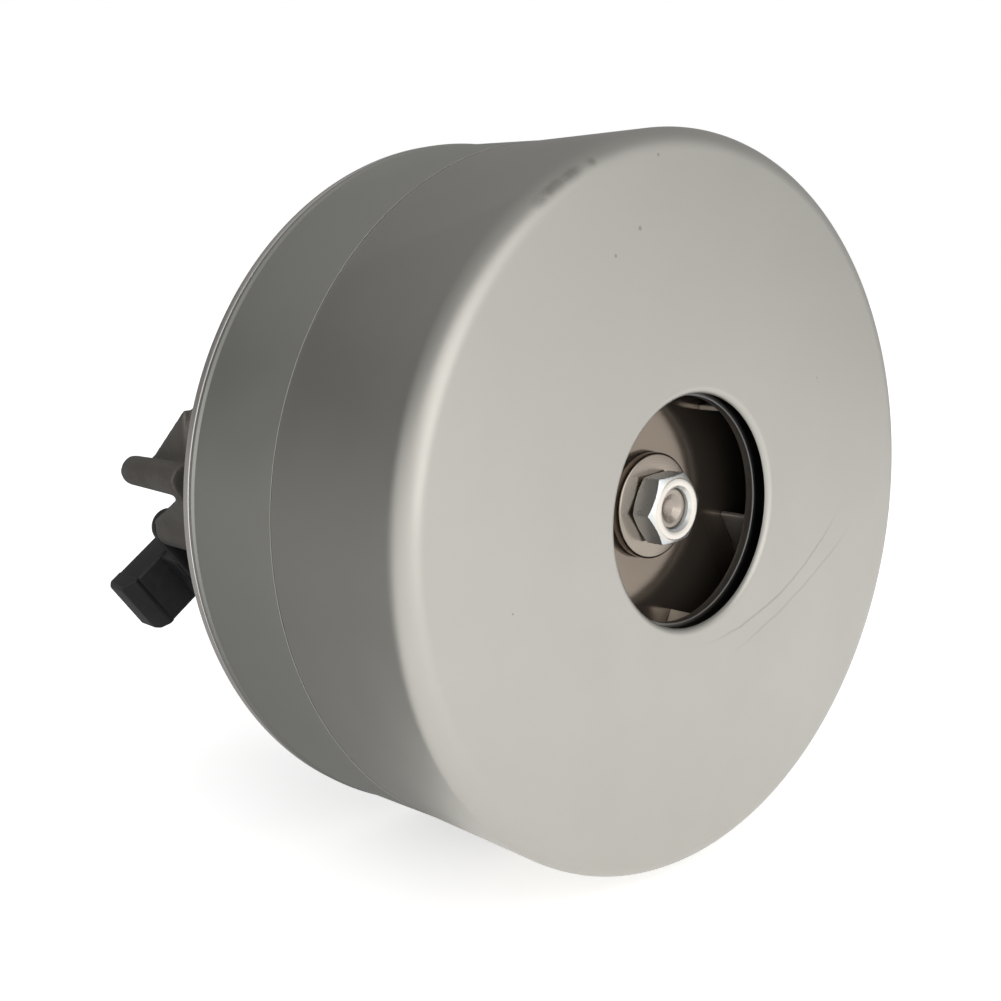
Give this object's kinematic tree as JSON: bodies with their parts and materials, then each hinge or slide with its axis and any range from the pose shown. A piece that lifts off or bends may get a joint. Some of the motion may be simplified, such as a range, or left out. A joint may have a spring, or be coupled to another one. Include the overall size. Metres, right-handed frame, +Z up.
{
  "type": "vacuum motor unit",
  "caption": "Two-stage vacuum motor with a round aluminium fan case, a rolled air inlet, sheet impellers on one shaft, and an open series motor with sprung brushes behind it.",
  "frame": {"origin": "centre of the air inlet, on the plane of the front face", "axes": "+Y along the shaft from the inlet to the rear bearing, so the inlet faces -Y; +Z up as pictured; +X to the right seen from the front"},
  "size_m": [0.1458, 0.1621, 0.1458],
  "materials": {
    "shell_aluminium": "satin, lightly scuffed",
    "rear_aluminium": "satin",
    "inner_aluminium": "mill finish",
    "cast_aluminium": "die-cast, machined rim",
    "impeller_aluminium": "bright rolled sheet",
    "zinc_steel": "zinc plated",
    "shaft_steel": "ground",
    "bearing_steel": "polished",
    "spring_steel": "drawn wire",
    "lamination": "stacked sheet, varnished",
    "coil_tape": "varnished wire bundle",
    "enamelled_copper": "enamelled wire",
    "armature_copper": "varnished wire",
    "bare_copper": "turned",
    "brown_resin": "moulded",
    "black_plastic": "moulded",
    "brass": "stamped",
    "carbon": "pressed carbon",
    "cage_plastic": "moulded"
  },
  "bodies": {
    "housing": {"front_shell": "shell_aluminium", "rear_shell": "rear_aluminium", "stage_divider": "inner_aluminium", "first_guide": "inner_aluminium", "second_guide": "inner_aluminium", "fan_bracket": "cast_aluminium", "bearing_retainer": "zinc_steel", "fan_bearing_outer": "bearing_steel", "stator_core": "lamination", "field_coil_a": "coil_tape", "field_coil_b": "coil_tape", "field_winding_a": "enamelled_copper", "field_winding_b": "enamelled_copper", "commutator_bracket": "cast_aluminium", "tie_screws": "zinc_steel", "rear_bearing_outer": "bearing_steel", "rear_bearing_cap": "zinc_steel", "brush_holder_a": "black_plastic", "brush_holder_b": "black_plastic", "brush_cap_a": "black_plastic", "brush_cap_b": "black_plastic", "brush_guide_a": "brass", "brush_guide_b": "brass", "brush_terminal_a": "brass", "brush_terminal_b": "brass", "holder_screws": "zinc_steel", "brush_spring_a": "spring_steel", "brush_spring_b": "spring_steel"},
    "rotor": {"shaft": "shaft_steel", "impeller_nut": "zinc_steel", "front_washer": "zinc_steel", "impeller_1_shroud": "impeller_aluminium", "impeller_1_blades": "impeller_aluminium", "impeller_1_plate": "impeller_aluminium", "impeller_spacer": "shaft_steel", "stage_washer": "zinc_steel", "impeller_2_shroud": "impeller_aluminium", "impeller_2_blades": "impeller_aluminium", "impeller_2_plate": "impeller_aluminium", "rear_spacer": "shaft_steel", "fan_bearing_inner": "bearing_steel", "armature_core": "lamination", "armature_winding": "armature_copper", "commutator_hub": "brown_resin", "commutator_bars": "bare_copper", "rear_bearing_inner": "bearing_steel"},
    "fan_cage": {"fan_bearing_balls": "bearing_steel", "fan_bearing_cage": "cage_plastic"},
    "rear_cage": {"rear_bearing_balls": "bearing_steel", "rear_bearing_cage": "cage_plastic"},
    "brush_a": {"carbon_brush_a": "carbon"},
    "brush_b": {"carbon_brush_b": "carbon"}
  },
  "joints": [
    {"name": "rotor_spin", "type": "hinge", "parent": "housing", "child": "rotor", "pos_m": [0, 0, 0], "axis": [0, 1, 0], "continuous": true},
    {"name": "fan_cage_spin", "type": "hinge", "parent": "housing", "child": "fan_cage", "pos_m": [0, 0.0625, 0], "axis": [0, 1, 0], "continuous": true},
    {"name": "rear_cage_spin", "type": "hinge", "parent": "housing", "child": "rear_cage", "pos_m": [0, 0.1546, 0], "axis": [0, 1, 0], "continuous": true},
    {"name": "brush_a_slide", "type": "slide", "parent": "housing", "child": "brush_a", "axis": [-0.788, 0, -0.6157], "range_m": [0, 0.004], "stiffness_N_per_m": 200, "springref_m": -0.02, "deforming": ["brush_spring_a"]},
    {"name": "brush_b_slide", "type": "slide", "parent": "housing", "child": "brush_b", "axis": [0.788, 0, 0.6157], "range_m": [0, 0.004], "stiffness_N_per_m": 200, "springref_m": -0.02, "deforming": ["brush_spring_b"]}
  ],
  "couplings": [
    {"joint": "fan_cage_spin", "follows": "rotor_spin", "ratio": 0.3659},
    {"joint": "rear_cage_spin", "follows": "rotor_spin", "ratio": 0.37}
  ]
}
